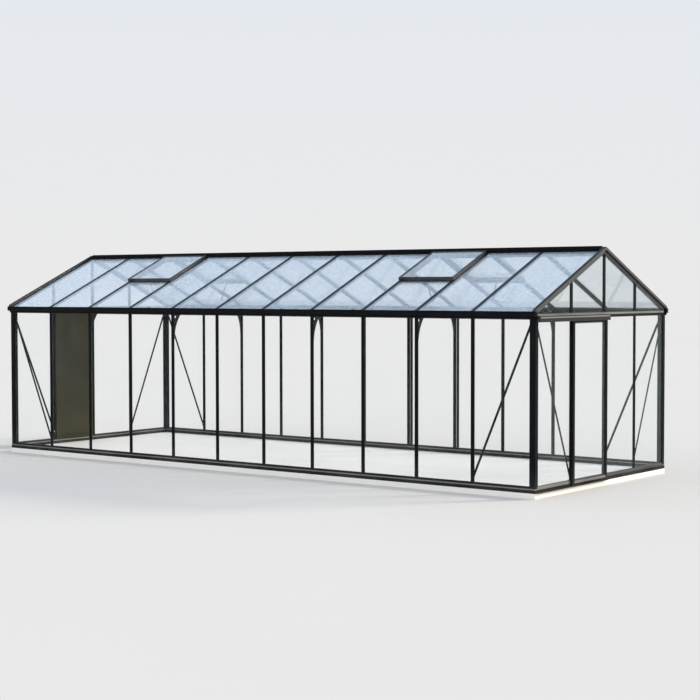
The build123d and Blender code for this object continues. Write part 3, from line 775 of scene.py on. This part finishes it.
class GREENHOUSE_OT_bolt_brackets(bpy.types.Operator):
    """Bolts of the knee brackets and of the diagonal braces"""

    bl_idname = "greenhouse.bolt_brackets"
    bl_label = "Bolt the brackets and braces"

    def execute(self, context):
        sizes = context.scene.greenhouse_sizes
        steel = moulded(
            "plated steel", context.scene.greenhouse_colours.plated_steel, 0.3, 500.0, 0.9)
        for side, wall in ((1, "front"), (-1, "back")):
            bolts = self.bolt_wall(sizes, side, wall)
            finish_piece(f"{wall}_bracket_bolts", bolts, BUILDING, steel)
        bm = bmesh.new()
        for points in solids_of("diagonal_braces"):
            self.bolt_brace(bm, sizes, points)
        finish_piece("brace_bolts", bm, BUILDING, steel)
        return {"FINISHED"}

    def bolt_wall(self, sizes, side, wall):
        """Bolts and screws through both cheeks of a wall's knee brackets."""
        bm = bmesh.new()
        for points in solids_of(f"{wall}_knee_brackets"):
            low, high = limits(points)
            outer = low.y if side > 0 else high.y
            for reach in BRACKET_BOLTS:
                for face, outward in ((high.x, 1), (low.x, -1)):
                    spot = (face, outer + reach * side, high.z - BRACKET_BOLT_DROP)
                    add_bolt(bm, spot, (outward, 0, 0), sizes)
            for rise in BRACKET_SCREW_RISE:
                for face, outward in ((high.x, 1), (low.x, -1)):
                    spot = (face, outer + BRACKET_SCREW_INSET * side, low.z + rise)
                    add_screw(bm, spot, (outward, 0, 0), sizes)
        return bm

    def bolt_brace(self, bm, sizes, points):
        """Bolts at both ends of a brace, on the face that looks into the room."""
        low, high = limits(points)
        axis = 0 if high.x - low.x > high.y - low.y else 1
        flat = 1 - axis
        inside = low[flat] if low[flat] > 0 else high[flat]
        inward = Vector((0, 0, 0))
        inward[flat] = -1 if low[flat] > 0 else 1
        head = max(points, key=lambda point: abs(point[axis]) * 10 + point.z)
        outer = [point for point in points if abs(point[axis] - head[axis]) < SAME_END]
        inner = [point for point in points if abs(point[axis] - head[axis]) > SAME_END]
        top = sum((Vector(point) for point in outer), Vector()) / len(outer)
        foot = sum((Vector(point) for point in inner), Vector()) / len(inner)
        for share in BRACE_BOLTS:
            spot = top.lerp(foot, share)
            spot[flat] = inside
            add_bolt(bm, spot, inward, sizes)


class GREENHOUSE_OT_cap_track(bpy.types.Operator):
    """Plastic end caps and screws of the door's track, and the screws of the door's corners"""

    bl_idname = "greenhouse.cap_track"
    bl_label = "Cap the track"

    def execute(self, context):
        sizes = context.scene.greenhouse_sizes
        colours = context.scene.greenhouse_colours
        plastic = moulded("black plastic", colours.plastic, 0.45)
        steel = moulded("black door screws", colours.black_screw, 0.35, 500.0, 0.9)
        caps = self.cap_ends(sizes)
        finish_piece("track_end_caps", caps, BUILDING, plastic)
        track = self.screw_track(sizes)
        finish_piece("track_screws", track, BUILDING, steel)
        leaf = self.screw_leaf(sizes)
        finish_piece("door_corner_screws", leaf, DOOR, steel)
        return {"FINISHED"}

    def cap_ends(self, sizes):
        """Caps over both ends of the track, in the outline of its section."""
        low, high = limits(corner_points("door_track"))
        bm = bmesh.new()
        for end, outward in ((low.y, -1), (high.y, 1)):
            cap = merged_copy("door_track")
            away = [
                face for face in cap.faces if face.normal.y * outward < SQUARE_ON
                or abs(face.calc_center_median().y - end) > SAME_END]
            bmesh.ops.delete(cap, geom=away, context="FACES")
            grown = bmesh.ops.extrude_face_region(cap, geom=list(cap.faces))["geom"]
            tips = [part for part in grown if isinstance(part, bmesh.types.BMVert)]
            bmesh.ops.translate(cap, verts=tips, vec=(0, outward * sizes.cap_height, 0))
            mesh = bpy.data.meshes.new("cap shape")
            cap.to_mesh(mesh)
            cap.free()
            bm.from_mesh(mesh)
            bpy.data.meshes.remove(mesh)
        return bm

    def screw_track(self, sizes):
        """Screws along the upper lip of the track."""
        low, high = limits(corner_points("door_track"))
        bm = bmesh.new()
        face = high.x - TRACK_LIP_DEPTH
        ends = (low.y + TRACK_SCREW_INSET, high.y - TRACK_SCREW_INSET)
        for place in steps(*ends, TRACK_SCREW_PITCH):
            add_screw(bm, (face, place, high.z - TRACK_SCREW_DROP), (1, 0, 0), sizes)
        return bm

    def screw_leaf(self, sizes):
        """Pairs of screws at the corners and the middle of the door's stiles."""
        low, high = limits(corner_points("door_frame"))
        foot = low.z + GUIDE_FIN
        top = foot + LEAF_HEIGHT
        places = [low.y + inset for inset in LEAF_SCREW_INSETS]
        places += [high.y - inset for inset in LEAF_SCREW_INSETS]
        bm = bmesh.new()
        for place in places:
            for height in (foot + LEAF_SCREW_RISE, foot + LEAF_MIDDLE_SCREW, top - LEAF_SCREW_RISE):
                add_screw(bm, (high.x, place, height), (1, 0, 0), sizes)
        return bm


class GREENHOUSE_OT_hook_gutters(bpy.types.Operator):
    """Plastic hooks over the outer lips of the gutters"""

    bl_idname = "greenhouse.hook_gutters"
    bl_label = "Hook the gutters"

    def execute(self, context):
        sizes = context.scene.greenhouse_sizes
        plastic = moulded("hook plastic", context.scene.greenhouse_colours.plastic, 0.45)
        half = sizes.hook_width / 2
        for side, wall in ((1, "front"), (-1, "back")):
            low, high = limits(corner_points(f"{wall}_gutter"))
            lip = (low.y if side > 0 else high.y) + HOOK_CLEARANCE * side
            near, far = sorted((lip, lip + sizes.hook_depth * side))
            bm = bmesh.new()
            for x in HOOK_PLACES:
                foot = (x - half, near, high.z - HOOK_GRIP)
                top = (x + half, far, high.z + sizes.hook_height)
                add_block(bm, foot, top, HOOK_ROUNDING)
            finish_piece(f"{wall}_gutter_hooks", bm, BUILDING, plastic)
        return {"FINISHED"}


class GREENHOUSE_OT_build_studio(bpy.types.Operator):
    """Pale floor, soft light and the camera at the photograph's angle"""

    bl_idname = "greenhouse.build_studio"
    bl_label = "Build the studio"

    def execute(self, context):
        colours = context.scene.greenhouse_colours
        self.lay_floor(context, colours.studio)
        self.hang_lights(context)
        self.light_world(context, colours)
        self.place_camera(context, context.scene.greenhouse_view)
        return {"FINISHED"}

    def lay_floor(self, context, colour):
        """Wide round floor just under the slab."""
        bm = bmesh.new()
        bmesh.ops.create_circle(bm, cap_ends=True, segments=96, radius=FLOOR_RADIUS)
        bmesh.ops.translate(bm, verts=bm.verts, vec=(0, 0, -FLOOR_DROP))
        mesh = bpy.data.meshes.new("studio_floor")
        bm.to_mesh(mesh)
        bm.free()
        mesh.materials.append(self.plain_floor(colour))
        floor = bpy.data.objects.new("studio_floor", mesh)
        context.scene.collection.objects.link(floor)

    def plain_floor(self, colour):
        """Matt floor with a faint drift of tone."""
        finish, tree, shader, place = new_finish("studio floor")
        drift = clouds(tree, place, 0.15, 3.0)
        darker = tuple(part * 0.96 for part in colour)
        set_inputs(tree, shader, {
            "Base Color": blend(tree, drift, opaque(colour), opaque(darker)),
            "Roughness": 1.0,
            "Specular IOR Level": 0.0,
        })
        return finish

    def hang_lights(self, context):
        """Two broad even lights: the key from behind the door's gable, and a weak one in front."""
        for name, spot, strength, breadth, colour in LAMPS:
            lamp = bpy.data.lights.new(name, "SUN")
            lamp.energy = strength
            lamp.angle = math.radians(breadth)
            lamp.color = colour
            light = bpy.data.objects.new(name, lamp)
            light.matrix_world = facing(spot, spot)
            context.scene.collection.objects.link(light)

    def light_world(self, context, colours):
        """Pale surroundings that turn to a light blue overhead."""
        world = bpy.data.worlds.new("studio")
        world.use_nodes = True
        tree = world.node_tree
        tree.nodes.clear()
        direction = node(tree, "TexCoord").outputs["Generated"]
        upward = node(tree, "SeparateXYZ", {0: direction}).outputs["Z"]
        share = spread(tree, upward, *HORIZON_BLEND)
        colour = blend(tree, share, opaque(colours.horizon), opaque(colours.overhead))
        shader = node(tree, "Background", {"Color": colour, "Strength": WORLD_STRENGTH})
        node(tree, "OutputWorld", {"Surface": shader.outputs[0]})
        context.scene.world = world

    def place_camera(self, context, view):
        """Camera fitted to the building's lines in the photograph."""
        forward = Vector((
            -math.sin(view.yaw) * math.cos(view.pitch),
            math.cos(view.yaw) * math.cos(view.pitch),
            math.sin(view.pitch)))
        right = forward.cross(Vector((0, 0, 1))).normalized()
        up = right.cross(forward)
        leaned_right = right * math.cos(view.roll) + up * math.sin(view.roll)
        leaned_up = up * math.cos(view.roll) - right * math.sin(view.roll)
        turn = Matrix((leaned_right, leaned_up, -forward)).transposed()
        lens = bpy.data.cameras.new("camera")
        lens.lens = view.lens
        lens.sensor_width = 36.0
        lens.clip_end = VIEW_REACH
        camera = bpy.data.objects.new("camera", lens)
        camera.matrix_world = Matrix.Translation(view.place) @ turn.to_4x4()
        context.scene.collection.objects.link(camera)
        context.scene.camera = camera
        context.scene.view_settings.view_transform = "Standard"


STEPS = (
    GREENHOUSE_OT_coat_frame,
    GREENHOUSE_OT_glaze,
    GREENHOUSE_OT_cast_floor,
    GREENHOUSE_OT_fit_panel,
    GREENHOUSE_OT_lay_seals,
    GREENHOUSE_OT_drive_screws,
    GREENHOUSE_OT_bolt_brackets,
    GREENHOUSE_OT_cap_track,
    GREENHOUSE_OT_hook_gutters,
    GREENHOUSE_OT_build_studio,
)


class GREENHOUSE_PT_steps(bpy.types.Panel):
    """Steps that dress the greenhouse"""

    bl_idname = "GREENHOUSE_PT_steps"
    bl_label = "Greenhouse"
    bl_space_type = "VIEW_3D"
    bl_region_type = "UI"
    bl_category = "Greenhouse"

    def draw(self, context):
        for step in STEPS:
            self.layout.operator(step.bl_idname)


CLASSES = (GreenhouseSizes, GreenhouseColours, GreenhouseView, *STEPS, GREENHOUSE_PT_steps)


def register():
    for each in CLASSES:
        bpy.utils.register_class(each)
    bpy.types.Scene.greenhouse_sizes = PointerProperty(type=GreenhouseSizes)
    bpy.types.Scene.greenhouse_colours = PointerProperty(type=GreenhouseColours)
    bpy.types.Scene.greenhouse_view = PointerProperty(type=GreenhouseView)


def unregister():
    del bpy.types.Scene.greenhouse_view
    del bpy.types.Scene.greenhouse_colours
    del bpy.types.Scene.greenhouse_sizes
    for each in reversed(CLASSES):
        bpy.utils.unregister_class(each)


def main():
    """Dress the greenhouse."""
    register()
    for step in STEPS:
        group, name = step.bl_idname.split(".")
        getattr(getattr(bpy.ops, group), name)()


if __name__ == "__main__":
    main()
